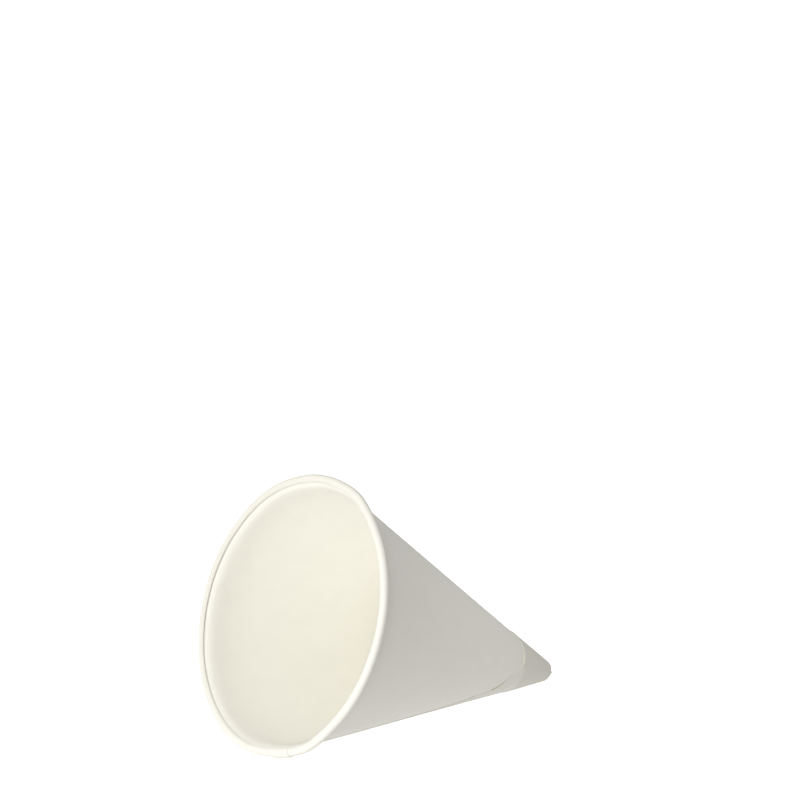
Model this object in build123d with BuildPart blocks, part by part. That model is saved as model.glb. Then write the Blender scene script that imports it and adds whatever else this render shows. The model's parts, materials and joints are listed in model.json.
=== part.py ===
from build123d import *

import math
import os

# A cone paper cup: one sheet of paper wound into a cone, glued along a side seam, with a rim
# rolled outward into a bead and a gathered tip that the sheet's tail is wound round. It lies on
# its side, seam down, on its rim and the wound tip.
# Millimetres. +Z is up, the tip is towards +X and the mouth opens towards -X, tilted up.
# The origin is on the surface it lies on, under the middle of the cup's box.
#
# The cup is drawn by its own section: r is the distance from the cup's axis, and s the distance
# along it, from the sharp apex that the cone would have towards the mouth. phi turns about the
# axis, from the cup's lowest line (0) by -Y (90) to its top (180).

# ---- driving dimensions ----
rim_diameter = 70.0  # over the rolled rim
cup_height = 90.0  # from the end of the tip to the top of the rim
paper_thickness = 0.22  # one ply
bead_diameter = 2.2  # the rolled rim
bead_standoff = 0.57  # from the wall's outer face to the middle of the bead
bead_gap = 0.2  # the slit between the sheet's rolled-in edge and the wall
tip_blunt = 4.2  # how much of the sharp cone the tip lacks
tip_end_radius = 0.35
shoulder_height = 3.0  # from the end of the tip up to where its gathers start
solid_height = 2.1  # from the end of the tip up to the bottom of the inside
open_height = 4.6  # from the end of the tip up to where the inside has the cone's full width
seam_angle = 25.0  # phi of the sheet's outer edge at the rim
seam_overlap = 6.5  # how far the sheet's two ends overlap
seam_ramp = 2.3  # beside the inner edge, where the outer ply comes down to the cone
tail_height = 17.0  # from the end of the tip up to the edge of the sheet's tail
corner_height = 26.6  # from the end of the tip up to the corner where the seam becomes the tail
corner_angle = 52.0  # phi of that corner
foot_angle = 97.0  # phi at which the tail's edge has come down to tail_height
rest_flat = 0.4  # how far the rim is pressed flat where it rests

SINK = 0.05  # how far an added ply reaches into the one under it, so that both are one solid
PRESSED_PAST_FLAT = 2.0  # degrees by which the roll is pressed solid past each end of its flat


def sine(angle):
    return math.sin(math.radians(angle))


def cosine(angle):
    return math.cos(math.radians(angle))


# ---- the cone ----
bead_radius = bead_diameter / 2
bead_bore = bead_radius - paper_thickness
bead_r = rim_diameter / 2 - bead_radius
bead_s = tip_blunt + cup_height - bead_radius
bead_reach = math.hypot(bead_r, bead_s)
half_angle = math.degrees(math.acos(bead_standoff / bead_reach) - math.atan2(bead_s, bead_r))
shoulder_s = tip_blunt + shoulder_height
open_s = tip_blunt + open_height
tail_s = tip_blunt + tail_height
corner_s = tip_blunt + corner_height


def wall_r(s, plies=0.0):
    """r of the wall's outer face at s, with so many plies added to it."""
    return (s * sine(half_angle) + plies * paper_thickness) / cosine(half_angle)


def on_bead(angle, radius):
    """The point (r, s) of the bead's section at an angle from outward, at a distance from its middle."""
    return (bead_r + radius * cosine(angle), bead_s + radius * sine(angle))


def bead_meets(standoff, radius):
    """The angle at which a line along the wall, at a distance from the bead's middle, enters its circle."""
    return 180 - half_angle + math.degrees(math.acos(standoff / radius))


crease_angle = bead_meets(bead_standoff + paper_thickness, bead_radius)
root_angle = bead_meets(bead_standoff, bead_bore)
edge_angle = bead_meets(bead_standoff, bead_radius) + math.degrees(bead_gap / bead_radius)
under_bead_s = on_bead(edge_angle, bead_radius)[1] - bead_gap

# ---- how it lies ----
tip_end = (tip_end_radius, tip_blunt)
shoulder = (wall_r(shoulder_s, 1), shoulder_s)
tail_top = (wall_r(tail_s, 1), tail_s)


def angle_at_rest(r, s):
    """The axis's angle over a floor that presses the bead flat and touches the section's point (r, s)."""
    reach = math.hypot(bead_r - r, bead_s - s)
    return math.degrees(math.atan2(bead_r - r, bead_s - s) + math.asin((bead_radius - rest_flat) / reach))


lie_angle = min(angle_at_rest(*point) for point in (tip_end, shoulder, tail_top))
touching_z = min(s * sine(lie_angle) - r * cosine(lie_angle) for r, s in (tip_end, shoulder, tail_top))
mouth_end_x = -bead_s * cosine(lie_angle) - bead_r * sine(lie_angle) - bead_radius
tip_end_x = -tip_blunt * cosine(lie_angle) + tip_end_radius * sine(lie_angle)
apex = Vector(-(mouth_end_x + tip_end_x) / 2, 0, -touching_z)
flat_phi = math.degrees(math.acos(1 - rest_flat / (rim_diameter / 2)))
towards_mouth = Vector(-cosine(lie_angle), 0, sine(lie_angle))
lowest_line = Vector(-sine(lie_angle), 0, -cosine(lie_angle))
cup_axis = Axis(apex, towards_mouth)


def outward(phi):
    """The direction straight out from the axis at phi."""
    return lowest_line * cosine(phi) + towards_mouth.cross(lowest_line) * sine(phi)


def section_plane(phi):
    """The plane through the axis at phi: its x is r and its y is s."""
    return Plane(origin=apex, x_dir=outward(phi), z_dir=outward(phi).cross(towards_mouth))


def facing_plane(phi):
    """The plane through the axis that faces phi: its x goes round towards a greater phi, its y is s."""
    return Plane(origin=apex, x_dir=towards_mouth.cross(outward(phi)), z_dir=outward(phi))


def wall_turn(inner_plies, outer_plies, low_s, high_s):
    """A full turn of paper between two levels of the wall, from low_s to high_s."""
    with BuildPart() as turn:
        with BuildSketch(section_plane(0)):
            with BuildLine():
                Polyline(
                    (wall_r(low_s, inner_plies), low_s),
                    (wall_r(low_s, outer_plies), low_s),
                    (wall_r(high_s, outer_plies), high_s),
                    (wall_r(high_s, inner_plies), high_s),
                    close=True,
                )
            make_face()
        revolve(axis=cup_axis)
    return turn.part


def patch(turn, corners):
    """What a turn of the wall keeps inside an outline, whose corners are given by phi and s."""
    with BuildPart() as kept:
        add(turn)
        with BuildSketch(facing_plane(corner_angle)):
            with BuildLine():
                seen = [(wall_r(s) * sine(phi - corner_angle), s) for phi, s in corners]
                Polyline(*seen, close=True)
            make_face()
        extrude(amount=rim_diameter, mode=Mode.INTERSECT)
    return kept.part


# ---- the sheet's two edges along the seam ----
rim_r = wall_r(bead_s)
corner_r = wall_r(corner_s)


def beside_seam(distance):
    """phi at the rim and at the tail's corner of a line beside the sheet's outer edge."""
    at_rim = seam_angle - math.degrees(distance / rim_r)
    at_corner = corner_angle - math.degrees(distance / corner_r)
    return at_rim, at_corner


def seam_strip(near, far, low_s, high_s):
    """The corners of a strip along the seam, between two distances from the sheet's outer edge."""
    near_rim, near_corner = beside_seam(near)
    far_rim, far_corner = beside_seam(far)
    return [(far_rim, high_s), (near_rim, high_s), (near_corner, low_s), (far_corner, low_s)]


outer_ply = wall_turn(-SINK / paper_thickness, 1, shoulder_s, under_bead_s)
half_ply = wall_turn(-SINK / paper_thickness, 0.5, corner_s, under_bead_s)
half_groove = wall_turn(-1.5, -0.5, corner_s, under_bead_s)

# the outer ply: over the seam, widening to the tail's corner and down to the tail's level edge
overlap = patch(outer_ply, seam_strip(0, seam_overlap, corner_s, bead_s))
tail_flap = patch(
    outer_ply,
    [
        (beside_seam(seam_overlap)[1], corner_s),
        (corner_angle, corner_s),
        (foot_angle, tail_s),
        (foot_angle, shoulder_s),
        (beside_seam(seam_overlap)[1], shoulder_s),
    ],
)

# beside the inner edge the outer ply comes down to the cone: half a ply stands out, half is a groove
ramp_strip = seam_strip(seam_overlap, seam_overlap + seam_ramp, corner_s, bead_s)
ramp = patch(half_ply, ramp_strip)
groove = patch(half_groove, ramp_strip)

# ---- the cup: the wall, its rolled rim and the gathered tip, with the plies over it ----
with BuildPart() as paper_cup:
    with BuildSketch(section_plane(0)):
        with BuildLine():
            Polyline(
                on_bead(crease_angle, bead_radius),
                (wall_r(open_s, -1), open_s),
                (0, tip_blunt + solid_height),
                (0, tip_blunt),
                tip_end,
                shoulder,
                tail_top,
                (wall_r(tail_s), tail_s),
                on_bead(root_angle, bead_bore),
            )
            # the rim: the sheet curls outward over the top and down, until it nearly meets the wall
            CenterArc((bead_r, bead_s), bead_radius, crease_angle, edge_angle - 360 - crease_angle)
            Line(on_bead(edge_angle, bead_radius), on_bead(edge_angle, bead_bore))
            CenterArc((bead_r, bead_s), bead_bore, edge_angle, root_angle + 360 - edge_angle)
        make_face()
    revolve(axis=cup_axis)

    # the rolled rim is a ply fatter where the sheet's ends overlap
    with BuildSketch(section_plane(beside_seam(seam_overlap)[0])):
        with BuildLine():
            fat_radius = bead_radius + paper_thickness
            thin_radius = bead_radius - SINK
            CenterArc((bead_r, bead_s), fat_radius, crease_angle, edge_angle - 360 - crease_angle)
            Line(on_bead(edge_angle, fat_radius), on_bead(edge_angle, thin_radius))
            CenterArc((bead_r, bead_s), thin_radius, edge_angle, crease_angle + 360 - edge_angle)
            Line(on_bead(crease_angle, thin_radius), on_bead(crease_angle, fat_radius))
        make_face()
    revolve(axis=cup_axis, revolution_arc=seam_angle - beside_seam(seam_overlap)[0])

    add(groove, mode=Mode.SUBTRACT)
    add(ramp)
    add(overlap)
    add(tail_flap)
    # where it rests, the roll is pressed solid and flat
    with BuildSketch(section_plane(-flat_phi - PRESSED_PAST_FLAT)):
        with Locations((bead_r, bead_s)):
            Circle(bead_radius - SINK)
    revolve(axis=cup_axis, revolution_arc=2 * (flat_phi + PRESSED_PAST_FLAT))
    with BuildSketch(Plane.XY):
        with Locations((apex.X + mouth_end_x + bead_diameter, 0)):
            Rectangle(2 * bead_diameter, rim_diameter)
    extrude(amount=-bead_diameter, mode=Mode.SUBTRACT)

os.makedirs("parts", exist_ok=True)
paper_cup.part.label = "paper_cup"
export_step(paper_cup.part, "parts/paper_cup.step")

box = paper_cup.part.bounding_box()
print("half angle", round(half_angle, 3), "lies at", round(lie_angle, 3))
print("volume", round(paper_cup.part.volume, 1), "solids", len(paper_cup.part.solids()))
print("box", [round(v, 3) for v in (*box.min, *box.max)])
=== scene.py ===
import json
import math

import bpy
from bpy.props import FloatProperty, FloatVectorProperty, PointerProperty
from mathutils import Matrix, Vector, noise


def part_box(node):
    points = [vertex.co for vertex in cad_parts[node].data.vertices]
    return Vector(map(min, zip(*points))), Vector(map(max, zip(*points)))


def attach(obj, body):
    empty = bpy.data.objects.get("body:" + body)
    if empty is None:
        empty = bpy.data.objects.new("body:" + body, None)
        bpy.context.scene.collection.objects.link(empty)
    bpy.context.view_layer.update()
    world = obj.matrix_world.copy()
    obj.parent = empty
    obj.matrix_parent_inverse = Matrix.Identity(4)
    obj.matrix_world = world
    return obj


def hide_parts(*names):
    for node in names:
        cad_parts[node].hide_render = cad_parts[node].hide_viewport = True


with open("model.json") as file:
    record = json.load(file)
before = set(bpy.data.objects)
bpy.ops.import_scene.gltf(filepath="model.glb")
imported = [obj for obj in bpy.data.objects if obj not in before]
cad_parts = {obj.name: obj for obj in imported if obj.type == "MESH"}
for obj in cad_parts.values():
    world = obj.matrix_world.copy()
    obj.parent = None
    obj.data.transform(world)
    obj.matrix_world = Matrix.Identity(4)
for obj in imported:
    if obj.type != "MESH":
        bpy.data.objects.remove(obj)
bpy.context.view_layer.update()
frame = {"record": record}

bl_info = {
    "name": "Cone Paper Cup",
    "version": (1, 0, 0),
    "blender": (4, 5, 0),
    "location": "3D View > Sidebar > Cup",
    "description": "Winds a cone paper cup with a rolled rim and a wound tip, and lays it on a studio table",
    "category": "Add Mesh",
}

MM = 0.001
RIM_MOUNT = next(m for m in frame["record"]["mounts"] if m["name"] == "rim")
CUP_LOW, CUP_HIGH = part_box("paper_cup")


# ---- small helpers ----


def sine(angle):
    return math.sin(math.radians(angle))


def cosine(angle):
    return math.cos(math.radians(angle))


def ease(x):
    """0 below 0, 1 above 1, and a smooth rise in between."""
    x = min(max(x, 0.0), 1.0)
    return x * x * (3 - 2 * x)


def bump(x, width):
    """1 at 0, falling smoothly to nothing about two widths away."""
    return math.exp(-((x / width) ** 2))


def blend(a, b, share):
    return a + (b - a) * share


def around(phi, centre):
    """The signed angle from centre to phi, from -180 to 180."""
    return (phi - centre + 180.0) % 360.0 - 180.0


def waves(phi, parts):
    """The sum of a few smooth waves at phi, each with its height, its place and its width."""
    return sum(height * bump(around(phi, centre), width) for height, centre, width in parts)


def linear(colour_hex):
    """An sRGB hex colour as linear red, green, blue."""
    channels = [int(colour_hex[i : i + 2], 16) / 255 for i in (0, 2, 4)]
    return tuple(c / 12.92 if c <= 0.04045 else ((c + 0.055) / 1.055) ** 2.4 for c in channels)


def put_in_scene(name, data):
    thing = bpy.data.objects.new(name, data)
    bpy.context.scene.collection.objects.link(thing)
    return thing


# ---- what a user would change ----


def size(name, description, default_mm):
    return FloatProperty(
        name=name, description=description, default=default_mm * MM, unit="LENGTH", precision=5
    )


def turn(name, description, default_deg):
    return FloatProperty(
        name=name, description=description, default=math.radians(default_deg), subtype="ANGLE", precision=3
    )


def colour(name, description, default_hex):
    return FloatVectorProperty(
        name=name, description=description, default=linear(default_hex), subtype="COLOR", min=0, max=1
    )


class ConeCupSizes(bpy.types.PropertyGroup):
    """The cup's sizes. Heights are from the end of the tip, along the cup's axis."""

    rim_diameter: size("Rim diameter", "Over the rolled rim", (CUP_HIGH.y - CUP_LOW.y) / MM)
    cup_height: size("Cup height", "From the end of the tip to the top of the rim", 90)
    paper: size("Paper thickness", "One ply", 0.22)
    bead: size("Bead diameter", "The rolled rim's own thickness", 2.2)
    standoff: size("Bead standoff", "From the wall's outer face to the middle of the bead", 0.57)
    blunt: size("Tip blunting", "How much of the sharp cone the tip lacks", 4.2)
    bottom: size("Inside bottom", "Height of the lowest point of the inside", 2.1)
    open_bottom: size("Open bottom", "Height where the inside has the cone's full width", 4.6)
    shoulder: size("Shoulder height", "Height where the tip's gathers start", 3.0)
    tail: size("Tail height", "Height of the level edge of the sheet's tail", 17.0)
    corner: size("Corner height", "Height of the corner where the side seam becomes the tail", 26.6)
    seam_angle: turn("Seam at the rim", "Where the sheet's outer edge meets the rim", 25)
    corner_angle: turn("Seam at the corner", "Where the sheet's outer edge meets the tail's corner", 52)
    foot_angle: turn("Foot of the slant", "Where the tail's slanted edge has come down to level", 97)
    overlap: size("Seam overlap", "How far the sheet's two ends overlap at the rim", 6.5)
    ramp: size("Seam ramp", "Where the outer ply comes down to the wall beside the inner edge", 2.3)
    corner_lift: size("Corner lift", "How far the tail's corner has come unstuck", 0.3)


class ConeCupColours(bpy.types.PropertyGroup):
    """The colours of the paper, with the light through it painted in, and of the table."""

    # painted light: the paper colour is one ply with the light through it painted in, and the colour for
    # several plies is a painted shade
    paper: colour("Paper", "One ply, with light coming through it", "f0eee5")
    stacked_shade: colour("Stacked paper", "Several plies together, which little light comes through", "e0ddd3")
    table: colour("Table", "The table that the cup lies on", "fafafa")


class ConeCupStage(bpy.types.PropertyGroup):
    """Where the camera and the light stand, and how bright the room is."""

    azimuth: turn("Azimuth", "The camera's angle round the cup", -37.96)
    elevation: turn("Elevation", "The camera's angle above the table", 12.82)
    distance: size("Distance", "From the camera to the middle of the mouth, along the line of sight", 798.9)
    mouth_right: size("Mouth to the right", "From the line of sight to the middle of the mouth", -26.44)
    mouth_down: size("Mouth down", "From the line of sight down to the middle of the mouth", 51.93)
    lens: FloatProperty(
        name="Focal length", description="On a 36 mm sensor, in mm", default=148.5, subtype="DISTANCE_CAMERA"
    )
    key_azimuth: turn("Key azimuth", "The large soft light's angle round the cup", -80)
    key_elevation: turn("Key elevation", "The large soft light's angle above the table", 15)
    key_spread: turn("Key spread", "How wide the large soft light looks from the cup", 90)
    key: FloatProperty(name="Key", description="Strength of the large soft light, in W/m2", default=2.55)
    sky: FloatProperty(name="Sky", description="Brightness of the white ceiling", default=0.79)
    bounce: FloatProperty(name="Bounce", description="Brightness the room sends up from below", default=0.71)
    fill: FloatProperty(
        name="Fill card", description="Light from a small card by the tip, in W", default=0.0079, precision=4
    )
    glow: FloatProperty(name="Table glow", description="Brightness of the lit table itself", default=0.8)


# ---- the cup's shape ----
# The cup is drawn in millimetres by r, the distance from its axis, s, the distance along the axis from
# the sharp apex that the cone would have, and phi, which turns from the lowest line (0) by -Y (90) to
# the top (180). A column is a line of points that runs from the tip to the rim and back down inside.

WALL_ROWS = 22
TAIL_ROWS = 10
FLAP_ROWS = 5
CURL_ROWS = 14
BEAD_ROWS = 30
INSIDE_ROWS = 18
EDGE = 0.04  # half the width of the step that a cut edge makes between two points, in mm or degrees
STACK = 3  # the number of plies from which the paper's painted shade goes no darker

# the rim's section
CREASE_ANGLE = 160.0  # on the bead's section, where the roll leaves the wall, from outward
CREASE_DEPTH = 0.5
CREASE_WIDTH = 9.0  # degrees of the bead's section, each side of the crease
CREASE_BACKING = 22.0  # degrees over which the inside of the roll gives way to the crease
BAND_LENGTH = 1.4  # the flared band below the crease, inside the rim
BAND_FLARE = 16.0  # degrees that it flares past the wall
BAND_CROWN = 0.05
WAIST_REACH = 5.5  # how far below the band the wall comes back to the true cone
BEAD_FLATTENING = 0.9  # the bead's height over its width
ROLL_END_ANGLE = -135.0  # on the bead's section, where the sheet's rolled edge ends

# the tail's edges
FOOT_ROUNDING = 0.2  # how softly the slanted edge runs into the level one, as a share of its turn
SLANT_POWER = 1.28  # how hollow the slanted edge runs
SLANT_TURN = 110.0  # degrees over which the columns stop leaning with the seam
TAIL_STEP = 0.35  # from the top of the wound tail to its cut edge
LIFT_REACH = 4.5

# waves, each as its height in mm, the angle where it stands and its width in degrees
LEVEL_WAVES = ((0.45, 78, 16), (-0.35, 46, 14), (2.4, 160, 17))
RIM_DENTS = ((0.55, 36, 9), (-0.45, 10, 10), (0.40, 160, 9), (-0.48, 200, 22), (-0.30, 240, 20))

# the gathered tip: each ring's r and height above the end in mm, up to where it takes the shoulder's width
NUB = ((0.20, 0.02), (0.34, 0.14), (0.44, 0.55), (0.80, 1.05))


class CupShape:
    """Turns the sizes into the lines that the sheet follows."""

    def __init__(self, sizes):
        self.ply = sizes.paper / MM
        self.overlap = sizes.overlap / MM
        self.ramp = sizes.ramp / MM
        self.lift = sizes.corner_lift / MM
        self.rim_radius = sizes.rim_diameter / MM / 2
        self.bead_radius = sizes.bead / MM / 2
        self.bead_r = self.rim_radius - self.bead_radius
        self.tip_s = sizes.blunt / MM
        self.bead_s = self.tip_s + sizes.cup_height / MM - self.bead_radius
        self.bottom_s = self.tip_s + sizes.bottom / MM
        self.open_s = self.tip_s + sizes.open_bottom / MM
        self.shoulder_s = self.tip_s + sizes.shoulder / MM
        self.tail_s = self.tip_s + sizes.tail / MM
        self.corner_s = self.tip_s + sizes.corner / MM
        self.seam = math.degrees(sizes.seam_angle)
        self.corner_phi = math.degrees(sizes.corner_angle)
        self.foot_phi = math.degrees(sizes.foot_angle)

        reach = math.hypot(self.bead_r, self.bead_s)
        lean = math.acos(sizes.standoff / MM / reach)
        self.half_angle = math.degrees(lean - math.atan2(self.bead_s, self.bead_r))
        self.inner_edge = self.seam - math.degrees(self.overlap / self.bead_r)
        self.ramp_start = self.inner_edge - math.degrees(self.ramp / self.bead_r)

        # the seam is straight in the flat sheet: a line past the apex, at seam_gap from it
        turned = (self.corner_phi - self.seam) * sine(self.half_angle)
        far, near = self.bead_s, self.corner_s
        across = math.sqrt(far**2 + near**2 - 2 * far * near * cosine(turned))
        self.seam_gap = far * near * sine(turned) / across

        self.axis = Vector(RIM_MOUNT["axis"]).normalized()
        self.down = Vector((-self.axis.z, 0, self.axis.x))
        self.apex = Vector(RIM_MOUNT["pos_m"]) / MM - self.axis * self.bead_s

        # inside the rim: the crease, the flared band below it and the waist where the wall is drawn in
        crease_r, crease_s = self.on_bead(CREASE_ANGLE + 2 * CREASE_WIDTH, self.bead_radius)
        self.band_top = (crease_r, crease_s)
        self.band_low_s = crease_s - BAND_LENGTH * cosine(self.half_angle + BAND_FLARE)
        band_low_r = crease_r - BAND_LENGTH * sine(self.half_angle + BAND_FLARE)
        self.waist = self.wall_r(self.band_low_s, -self.ply) - band_low_r

    def place(self, r, s, phi):
        """A point of the cup in the row's frame, in metres, pressed flat where it would be under the table."""
        across = self.down * cosine(phi) + self.axis.cross(self.down) * sine(phi)
        point = self.apex + self.axis * s + across * r
        point.z = max(point.z, 0.0)
        return point * MM

    def wall_r(self, s, off=0.0):
        """r of the wall's outer face at s, moved out by an offset square to the wall."""
        return (s * sine(self.half_angle) + off) / cosine(self.half_angle)

    def on_bead(self, angle, radius):
        """The point (r, s) of the bead's flattened section at an angle from outward."""
        return self.bead_r + radius * cosine(angle), self.bead_s + radius * BEAD_FLATTENING * sine(angle)

    def seam_phi(self, s):
        """phi of the sheet's outer edge at s."""
        s = max(s, self.corner_s)
        turned = math.acos(self.seam_gap / self.bead_s) - math.acos(self.seam_gap / min(s, self.bead_s))
        return self.seam + math.degrees(turned) / sine(self.half_angle)

    def phi_at(self, column, s):
        """phi of a column's point at s: columns lean with the seam where they are beside it."""
        past = around(column, self.seam)
        if past < 0:
            share = 1 - min(past / (self.inner_edge - self.seam), 1)
        else:
            share = 1 - ease(past / SLANT_TURN)
        return column + (self.seam_phi(s) - self.seam) * share

    def level_s(self, phi):
        """s of the level edge of the tail's first turn, which waves a little."""
        return self.tail_s + waves(phi, LEVEL_WAVES)

    def tail_plies(self, phi):
        """How many plies the wound tail adds at phi."""
        return 1.3 + 0.6 * cosine(phi - 30)

    def bead_painted_shade(self, phi):
        """A ply count for the roll's colour at phi, which is painted light and shade: lighter round phi 65,
        darker round phi 245.
        """
        return max(1, 2.1 + 0.9 * cosine(phi - 245))

    def out_of_round(self, phi):
        """How far the rim stands out of a true circle at phi."""
        return waves(phi, RIM_DENTS)

    def give(self, s, phi):
        """How far the wall stands off a true cone: out of round, faint waves, and the waist by the rim."""
        share = s / self.bead_s
        wave = 0.07 * noise.noise(Vector((2.2 * cosine(phi), 2.2 * sine(phi), s / 38)))
        waist = self.waist * ease((s - self.band_low_s + WAIST_REACH) / WAIST_REACH)
        return self.out_of_round(phi) * share**2 + wave * share - waist

    def rim_wave(self, phi):
        """The rolled rim's small unevenness at phi: out, along the axis, and the bead's thickness."""
        ring = Vector((cosine(phi), sine(phi), 0.0))
        out = 0.07 * noise.noise(ring * 3.1 + Vector((0, 0, 4.0)))
        along = 0.09 * noise.noise(ring * 4.3 + Vector((0, 0, 9.0)))
        swell = 0.05 * noise.noise(ring * 6.0 + Vector((0, 0, 2.0)))
        return out, along, swell

    def lift_at(self, phi, s):
        """How far the tail's flap has come up at a point, beside its corner."""
        gap = math.radians(phi - self.corner_phi) * self.wall_r(self.corner_s)
        return self.lift * bump(math.hypot(gap, s - self.corner_s), LIFT_REACH)


def columns(shape):
    """The columns' angles, once round from the seam's far side to its near side: one a degree, one each
    half a degree over the seam's lap, and some close beside the sheet's two edges."""
    seam, inner_edge = shape.seam, shape.inner_edge
    whole = [seam + 1 + i for i in range(359)]
    halves = [seam + 360 - 0.5 - i for i in range(14)]
    outer = [seam + EDGE, seam + 0.3, seam + 360 - 0.25, seam + 360 - EDGE]
    inner = [inner_edge + 360 - EDGE, inner_edge + 360 + EDGE]
    return sorted(whole + halves + outer + inner)


def slanted(left):
    """The slanted edge's height, as a share, where a share of its turn is left: it ends in a soft foot."""
    return ((left + math.hypot(left, FOOT_ROUNDING)) / 2) ** SLANT_POWER


def outer_rows(shape, column, outer_ply):
    """The column's points on the outside, from the tip to the bead's root: (r, s, phi, plies)."""
    rows = []
    ply = shape.ply

    def add(r, s, plies):
        rows.append((r, s, shape.phi_at(column, s), plies))

    def add_wall(s, off, plies):
        phi = shape.phi_at(column, s)
        rows.append((shape.wall_r(s, off) + shape.give(s, phi), s, phi, plies))

    # the gathered end: a small nub, then pleats up to the shoulder
    pleat = 0.10 * cosine(5 * column + 40) + 0.05 * cosine(9 * column)
    shoulder_r = shape.wall_r(shape.shoulder_s, ply)
    for nub_r, height in NUB:
        add(nub_r * (1 + pleat), shape.tip_s + height, STACK)
    add(shoulder_r * 0.52 * (1 + 0.7 * pleat), shape.tip_s + 1.6, STACK)
    add(shoulder_r * 0.86 * (1 + 0.4 * pleat), shape.shoulder_s - 0.55, STACK)
    add(shoulder_r * 0.985, shape.shoulder_s - 0.06, STACK)

    # the wound tail
    phi = shape.phi_at(column, shape.tail_s)
    level = shape.level_s(phi)
    full = shape.tail_plies(phi)
    for i in range(1, TAIL_ROWS + 1):
        share = i / TAIL_ROWS
        s = blend(shape.shoulder_s, level - 0.3, share)
        add_wall(s, ply * blend(1, full, share), STACK)

    # above it the flap, one ply that ends in the slanted edge; elsewhere the tail ends at once
    slant = (phi - shape.corner_phi) % 360 / (shape.foot_phi - shape.corner_phi)
    beside = around(column, shape.ramp_start) / (shape.seam - shape.ramp_start)
    low_top = level + TAIL_STEP
    if outer_ply > 0:
        top = blend(low_top, shape.corner_s, ease(beside))
        under = blend(full, 1, outer_ply)
        plies = STACK - outer_ply
    else:
        top = low_top + (shape.corner_s - low_top) * slanted(1 - slant)
        under = blend(1, full, ease((slant - 0.8) / 0.2))
        plies = blend(2, STACK, ease((slant - 0.9) / 0.1))
    first = level + 0.1
    is_flap = plies < 2.5
    for i in range(FLAP_ROWS):
        s = blend(first, top - 2 * EDGE, i / (FLAP_ROWS - 1))
        add_wall(s, ply * under + shape.lift_at(phi, s) * is_flap, plies)

    # the cut edge, with a gap under it where the flap has come up
    lift = shape.lift_at(phi, top) * is_flap
    wall_ply = ply * outer_ply
    add_wall(top, ply * under + lift, plies)
    if outer_ply > 0:
        add_wall(top + EDGE / 2, wall_ply + lift, 1 + outer_ply)
        add_wall(top + EDGE, wall_ply + lift, 1 + outer_ply)
    else:
        add_wall(top, lift, 1)
        add_wall(top - EDGE - 2 * lift, -EDGE / 2, 2)
    above = top + 2 * EDGE
    add_wall(above, wall_ply + lift * (outer_ply > 0), 1 + outer_ply)

    # the wall, up to just under the bead
    root_s = shape.band_low_s
    for i in range(1, WALL_ROWS + 1):
        s = blend(above, root_s, i / WALL_ROWS)
        flap_lift = shape.lift_at(shape.phi_at(column, s), s) * (outer_ply > 0)
        add_wall(s, wall_ply + flap_lift, 1 + outer_ply)
    return rows


def rim_rows(shape, column, outer_ply, inner_gap):
    """The column's points round the rolled rim, from its root to the bottom of the flared band."""
    rows = []
    phi = column
    out, along, swell = shape.rim_wave(phi)
    round_off = shape.out_of_round(phi)
    fat = shape.ply * outer_ply if outer_ply > 0.999 else 0.0
    radius = shape.bead_radius * (1 + swell)
    bore = shape.bead_radius - shape.ply
    start = CREASE_ANGLE + CREASE_WIDTH

    # painted light and shade round the roll, carried by its ply count
    rolled = shape.bead_painted_shade(phi)

    def add(angle, distance):
        r, s = shape.on_bead(angle, distance)
        rows.append((r + out + round_off, s + along, phi, rolled))

    for i in range(CURL_ROWS):
        angle = blend(start, ROLL_END_ANGLE, i / (CURL_ROWS - 1))
        add(angle, bore - CREASE_DEPTH * bump(angle - CREASE_ANGLE, CREASE_BACKING))
    for i in range(BEAD_ROWS):
        add(blend(ROLL_END_ANGLE, CREASE_ANGLE - CREASE_WIDTH, i / (BEAD_ROWS - 1)), radius + fat)
    add(CREASE_ANGLE, radius - CREASE_DEPTH)
    top_r, top_s = shape.band_top
    low_r = shape.wall_r(shape.band_low_s, -shape.ply) - shape.waist
    for share in (0.0, 0.35, 0.7, 1.0):
        crown = BAND_CROWN * math.sin(math.pi * share)
        r = blend(top_r, low_r, share) + out * (1 - share) + round_off - crown + inner_gap
        rows.append((r, blend(top_s, shape.band_low_s, share) + along * (1 - share), phi, 1))
    return rows


def inner_rows(shape, column, outer_ply, inner_gap):
    """The column's points down the inside, from below the band to the bottom of the cone."""
    rows = []
    for i in range(1, INSIDE_ROWS + 1):
        s = blend(shape.band_low_s, shape.open_s, (i / INSIDE_ROWS) ** 1.4)
        phi = shape.phi_at(column, s)
        r = shape.wall_r(s, -shape.ply) + inner_gap * min(1, s / shape.corner_s) + shape.give(s, phi)
        rows.append((r, s, phi, 1 + outer_ply))
    for share in (0.35, 0.7):
        r = shape.wall_r(shape.open_s, -shape.ply) * (1 - share)
        s = blend(shape.open_s, shape.bottom_s, share)
        rows.append((r, s, shape.phi_at(column, s), STACK))
    return rows


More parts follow.
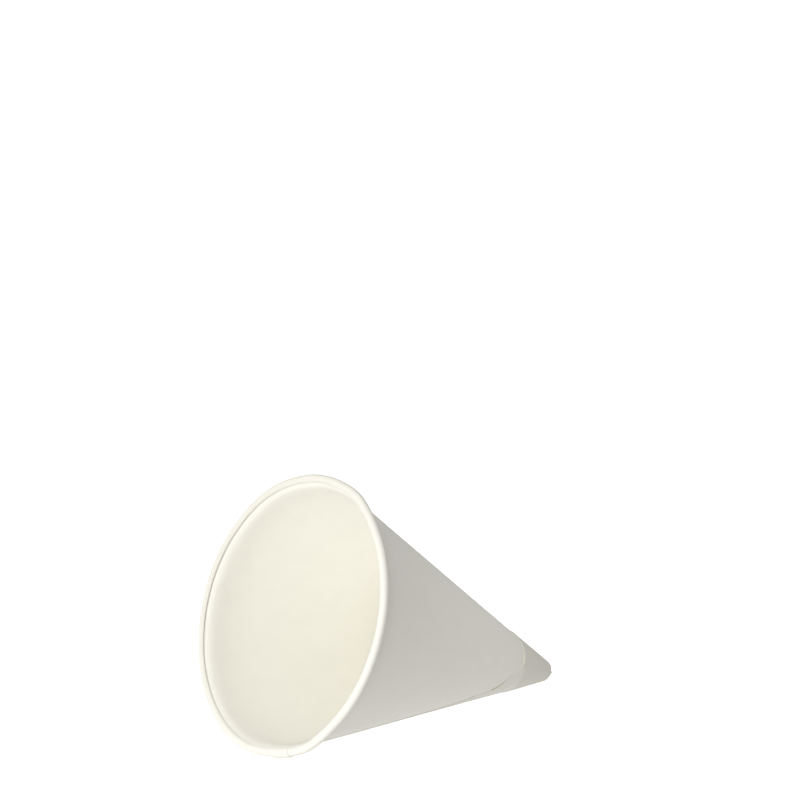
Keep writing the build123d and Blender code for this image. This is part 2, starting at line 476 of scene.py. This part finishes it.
def wind_sheet(shape):
    """The closed mesh of the wound sheet, with the number of plies at each point."""
    points, plies, grid = [], [], []
    for column in columns(shape):
        past = around(column, shape.ramp_start)
        on_flap = 0 < past < around(shape.seam, shape.ramp_start)
        rise = ease(past / around(shape.inner_edge, shape.ramp_start))
        outer_ply = rise if on_flap else 0.0
        inner_gap = shape.ply * outer_ply * (around(column, shape.inner_edge) < 0)
        rows = outer_rows(shape, column, outer_ply)
        rows += rim_rows(shape, column, outer_ply, inner_gap)
        rows += inner_rows(shape, column, outer_ply, inner_gap)
        grid.append(list(range(len(points), len(points) + len(rows))))
        points += [shape.place(r, s, phi) for r, s, phi, _ in rows]
        plies += [count for *_, count in rows]

    faces = []
    for here, there in zip(grid, grid[1:] + grid[:1]):
        for i in range(len(here) - 1):
            faces.append((here[i], there[i], there[i + 1], here[i + 1]))
    poles = ((0, shape.tip_s), (-1, shape.bottom_s))
    for row, s in poles:
        pole = len(points)
        points.append(shape.place(0, s, 0))
        plies.append(STACK)
        for here, there in zip(grid, grid[1:] + grid[:1]):
            ring = (there[row], here[row]) if row == 0 else (here[row], there[row])
            faces.append((pole, *ring))

    mesh = bpy.data.meshes.new("paper_cup_wound")
    mesh.from_pydata(points, [], faces)
    mesh.validate()
    mesh.update()
    # the plies set the paper's painted light and shade in its material
    mesh.attributes.new("plies", "FLOAT", "POINT").data.foreach_set("value", plies)
    mesh.shade_smooth()
    mesh.set_sharp_from_angle(angle=math.radians(38))
    return mesh


# ---- the paper ----


def add_node(tree, kind, links=(), **settings):
    """Adds a node with its settings, and links outputs to its inputs by name or number."""
    node = tree.nodes.new(kind)
    for key, value in settings.items():
        if hasattr(node, key):
            setattr(node, key, value)
        else:
            node.inputs[key].default_value = value
    for socket, source in links:
        tree.links.new(source, node.inputs[socket])
    return node


def bleached_cup_stock(colours):
    """Bleached, uncoated cup stock, machine calendered: a matt warm white with a faint felt-side mottle.
    Light that comes through the paper is painted into its colour: one ply is painted lighter, and plies wound
    together at the tip are painted darker, as painted shade."""
    material = bpy.data.materials.new("bleached_uncoated_cup_stock")
    material.use_nodes = True
    tree = material.node_tree
    shader = tree.nodes["Principled BSDF"]
    place = add_node(tree, "ShaderNodeTexCoord").outputs["Object"]
    # painted light and shade: the plies attribute mixes the colour, lighter for one ply that light shines
    # through and darker where plies lie together
    plies = add_node(tree, "ShaderNodeAttribute", attribute_name="plies").outputs["Fac"]
    stacked_shade = add_node(tree, "ShaderNodeMapRange", [("Value", plies)])
    stacked_shade.inputs["From Min"].default_value = 1
    stacked_shade.inputs["From Max"].default_value = STACK
    painted_translucency = add_node(tree, "ShaderNodeMix", [("Factor", stacked_shade.outputs[0])], data_type="RGBA")
    painted_translucency.inputs["A"].default_value = (*colours.paper, 1)
    painted_translucency.inputs["B"].default_value = (*colours.stacked_shade, 1)

    # the sheet's formation: clouds of fibre 4 mm across, which let a little more or less light through
    clouds = add_node(tree, "ShaderNodeTexNoise", [("Vector", place)])
    clouds.inputs["Scale"].default_value = 1 / (4 * MM)
    clouds.inputs["Detail"].default_value = 3
    shade = add_node(tree, "ShaderNodeMapRange", [("Value", clouds.outputs["Fac"])])
    shade.inputs["To Min"].default_value = 0.975
    shade.inputs["To Max"].default_value = 1.02
    mottled = add_node(tree, "ShaderNodeVectorMath", operation="SCALE")
    tree.links.new(painted_translucency.outputs["Result"], mottled.inputs[0])
    tree.links.new(shade.outputs[0], mottled.inputs["Scale"])
    tree.links.new(mottled.outputs[0], shader.inputs["Base Color"])

    # fibres are 0.03 mm across, too fine to show, so the tooth is drawn at 0.45 mm
    tooth = add_node(tree, "ShaderNodeTexNoise", [("Vector", place)])
    tooth.inputs["Scale"].default_value = 1 / (0.45 * MM)
    tooth.inputs["Detail"].default_value = 4
    relief = add_node(tree, "ShaderNodeBump", [("Height", tooth.outputs["Fac"])])
    relief.inputs["Strength"].default_value = 0.12
    relief.inputs["Distance"].default_value = 0.05 * MM
    tree.links.new(relief.outputs["Normal"], shader.inputs["Normal"])

    rough = add_node(tree, "ShaderNodeMapRange", [("Value", tooth.outputs["Fac"])])
    rough.inputs["To Min"].default_value = 0.82
    rough.inputs["To Max"].default_value = 0.94
    tree.links.new(rough.outputs[0], shader.inputs["Roughness"])
    shader.inputs["IOR"].default_value = 1.47
    shader.inputs["Specular IOR Level"].default_value = 0.3
    return material


# ---- the stage ----

TABLE_WIDTH = 8.0  # in m, so that its ends are out of sight
FILL_CARD_SIZE = 50.0
FILL_CARD_AT = (60.0, -60.0, 60.0)
FILL_CARD_AIM = (30.0, 0.0, 15.0)


def lit_acrylic(colours, glow):
    """White satin acrylic, lit from behind as a product table is: it keeps only a soft trace of a shadow."""
    material = bpy.data.materials.new("backlit_white_acrylic")
    material.use_nodes = True
    shader = material.node_tree.nodes["Principled BSDF"]
    shader.inputs["Base Color"].default_value = (*colours.table, 1)
    shader.inputs["Roughness"].default_value = 0.7
    shader.inputs["Specular IOR Level"].default_value = 0.1
    shader.inputs["Emission Color"].default_value = (*colours.table, 1)
    shader.inputs["Emission Strength"].default_value = glow
    material.cycles.emission_sampling = "NONE"
    return material


def white_room(sky, bounce):
    """A plain white room: bright overhead and, by bounce from the table, from below; dark at eye level."""
    world = bpy.data.worlds.new("white_room")
    world.use_nodes = True
    tree = world.node_tree
    direction = add_node(tree, "ShaderNodeTexCoord").outputs["Generated"]
    height = add_node(tree, "ShaderNodeSeparateXYZ", [(0, direction)]).outputs["Z"]
    ramps = []
    for start, end, at_start, at_end in ((-0.3, 0.3, bounce, 0.0), (0.3, 0.9, 0.0, sky)):
        ramp = add_node(tree, "ShaderNodeMapRange", [("Value", height)])
        ramp.inputs["From Min"].default_value = start
        ramp.inputs["From Max"].default_value = end
        ramp.inputs["To Min"].default_value = at_start
        ramp.inputs["To Max"].default_value = at_end
        ramps.append(ramp.outputs[0])
    both = add_node(tree, "ShaderNodeMath", list(enumerate(ramps)), operation="ADD")
    tree.links.new(both.outputs[0], tree.nodes["Background"].inputs["Strength"])
    tree.nodes["Background"].inputs["Color"].default_value = (1, 1, 1, 1)
    return world


def towards(azimuth, elevation):
    """The direction from the cup to something at an azimuth round it and an elevation, in radians."""
    level = math.cos(elevation)
    return Vector((math.sin(azimuth) * level, -math.cos(azimuth) * level, math.sin(elevation)))


# ---- operators and panel ----


class CONE_CUP_OT_wind(bpy.types.Operator):
    """Wind the sheet into the cup, with its rolled rim and wound tip"""

    bl_idname = "cone_cup.wind"
    bl_label = "Wind the Cup"

    def execute(self, context):
        scene = context.scene
        mesh = wind_sheet(CupShape(scene.cone_cup_sizes))
        mesh.materials.append(bleached_cup_stock(scene.cone_cup_colours))
        cup = put_in_scene("wound_paper_cup", mesh)
        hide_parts("paper_cup")
        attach(cup, "root")
        return {"FINISHED"}


class CONE_CUP_OT_stage(bpy.types.Operator):
    """Set up the table, the soft light, the white room and the camera"""

    bl_idname = "cone_cup.stage"
    bl_label = "Set the Stage"

    def execute(self, context):
        scene = context.scene
        stage = scene.cone_cup_stage
        half = TABLE_WIDTH / 2
        corners = [(-half, -half, 0), (half, -half, 0), (half, half, 0), (-half, half, 0)]
        mesh = bpy.data.meshes.new("table")
        mesh.from_pydata(corners, [], [(0, 1, 2, 3)])
        mesh.materials.append(lit_acrylic(scene.cone_cup_colours, stage.glow))
        table = put_in_scene("table", mesh)
        table.visible_diffuse = False
        table.visible_shadow = False

        key = bpy.data.lights.new("soft_key", "SUN")
        key.energy = stage.key
        key.angle = stage.key_spread
        lamp = put_in_scene("soft_key", key)
        lamp.rotation_mode = "QUATERNION"
        lamp.rotation_quaternion = towards(stage.key_azimuth, stage.key_elevation).to_track_quat("Z", "Y")
        scene.world = white_room(stage.sky, stage.bounce)

        card = bpy.data.lights.new("fill_card", "AREA")
        card.shape = "DISK"
        card.size = FILL_CARD_SIZE * MM
        card.energy = stage.fill
        fill = put_in_scene("fill_card", card)
        fill.location = Vector(FILL_CARD_AT) * MM
        fill.rotation_mode = "QUATERNION"
        fill.rotation_quaternion = Vector(Vector(FILL_CARD_AT) - Vector(FILL_CARD_AIM)).to_track_quat("Z", "Y")
        fill.visible_camera = False

        back = towards(stage.azimuth, stage.elevation)
        right = Vector((0, 0, 1)).cross(back).normalized()
        up = back.cross(right)
        camera = put_in_scene("camera", bpy.data.cameras.new("camera"))
        camera.data.lens = stage.lens
        camera.data.sensor_width = 36
        camera.data.clip_start = 0.05
        mouth = Vector(RIM_MOUNT["pos_m"])
        camera.location = mouth + back * stage.distance - right * stage.mouth_right + up * stage.mouth_down
        camera.rotation_mode = "QUATERNION"
        camera.rotation_quaternion = back.to_track_quat("Z", "Y")
        scene.camera = camera
        scene.view_settings.view_transform = "Standard"
        return {"FINISHED"}


class CONE_CUP_PT_panel(bpy.types.Panel):
    """Lists the cup's steps and sizes in the sidebar"""

    bl_idname = "CONE_CUP_PT_panel"
    bl_label = "Cone Paper Cup"
    bl_space_type = "VIEW_3D"
    bl_region_type = "UI"
    bl_category = "Cup"

    def draw(self, context):
        layout = self.layout
        layout.operator(CONE_CUP_OT_wind.bl_idname)
        layout.operator(CONE_CUP_OT_stage.bl_idname)
        scene = context.scene
        for group in (scene.cone_cup_sizes, scene.cone_cup_colours, scene.cone_cup_stage):
            box = layout.box()
            for name in group.__annotations__:
                box.prop(group, name)


PROPERTY_GROUPS = {
    "cone_cup_sizes": ConeCupSizes,
    "cone_cup_colours": ConeCupColours,
    "cone_cup_stage": ConeCupStage,
}
CLASSES = (*PROPERTY_GROUPS.values(), CONE_CUP_OT_wind, CONE_CUP_OT_stage, CONE_CUP_PT_panel)


def register():
    for cls in CLASSES:
        bpy.utils.register_class(cls)
    for name, group in PROPERTY_GROUPS.items():
        setattr(bpy.types.Scene, name, PointerProperty(type=group))


def unregister():
    for name in PROPERTY_GROUPS:
        delattr(bpy.types.Scene, name)
    for cls in reversed(CLASSES):
        bpy.utils.unregister_class(cls)


def main():
    register()
    bpy.ops.cone_cup.wind()
    bpy.ops.cone_cup.stage()


if __name__ == "__main__":
    main()
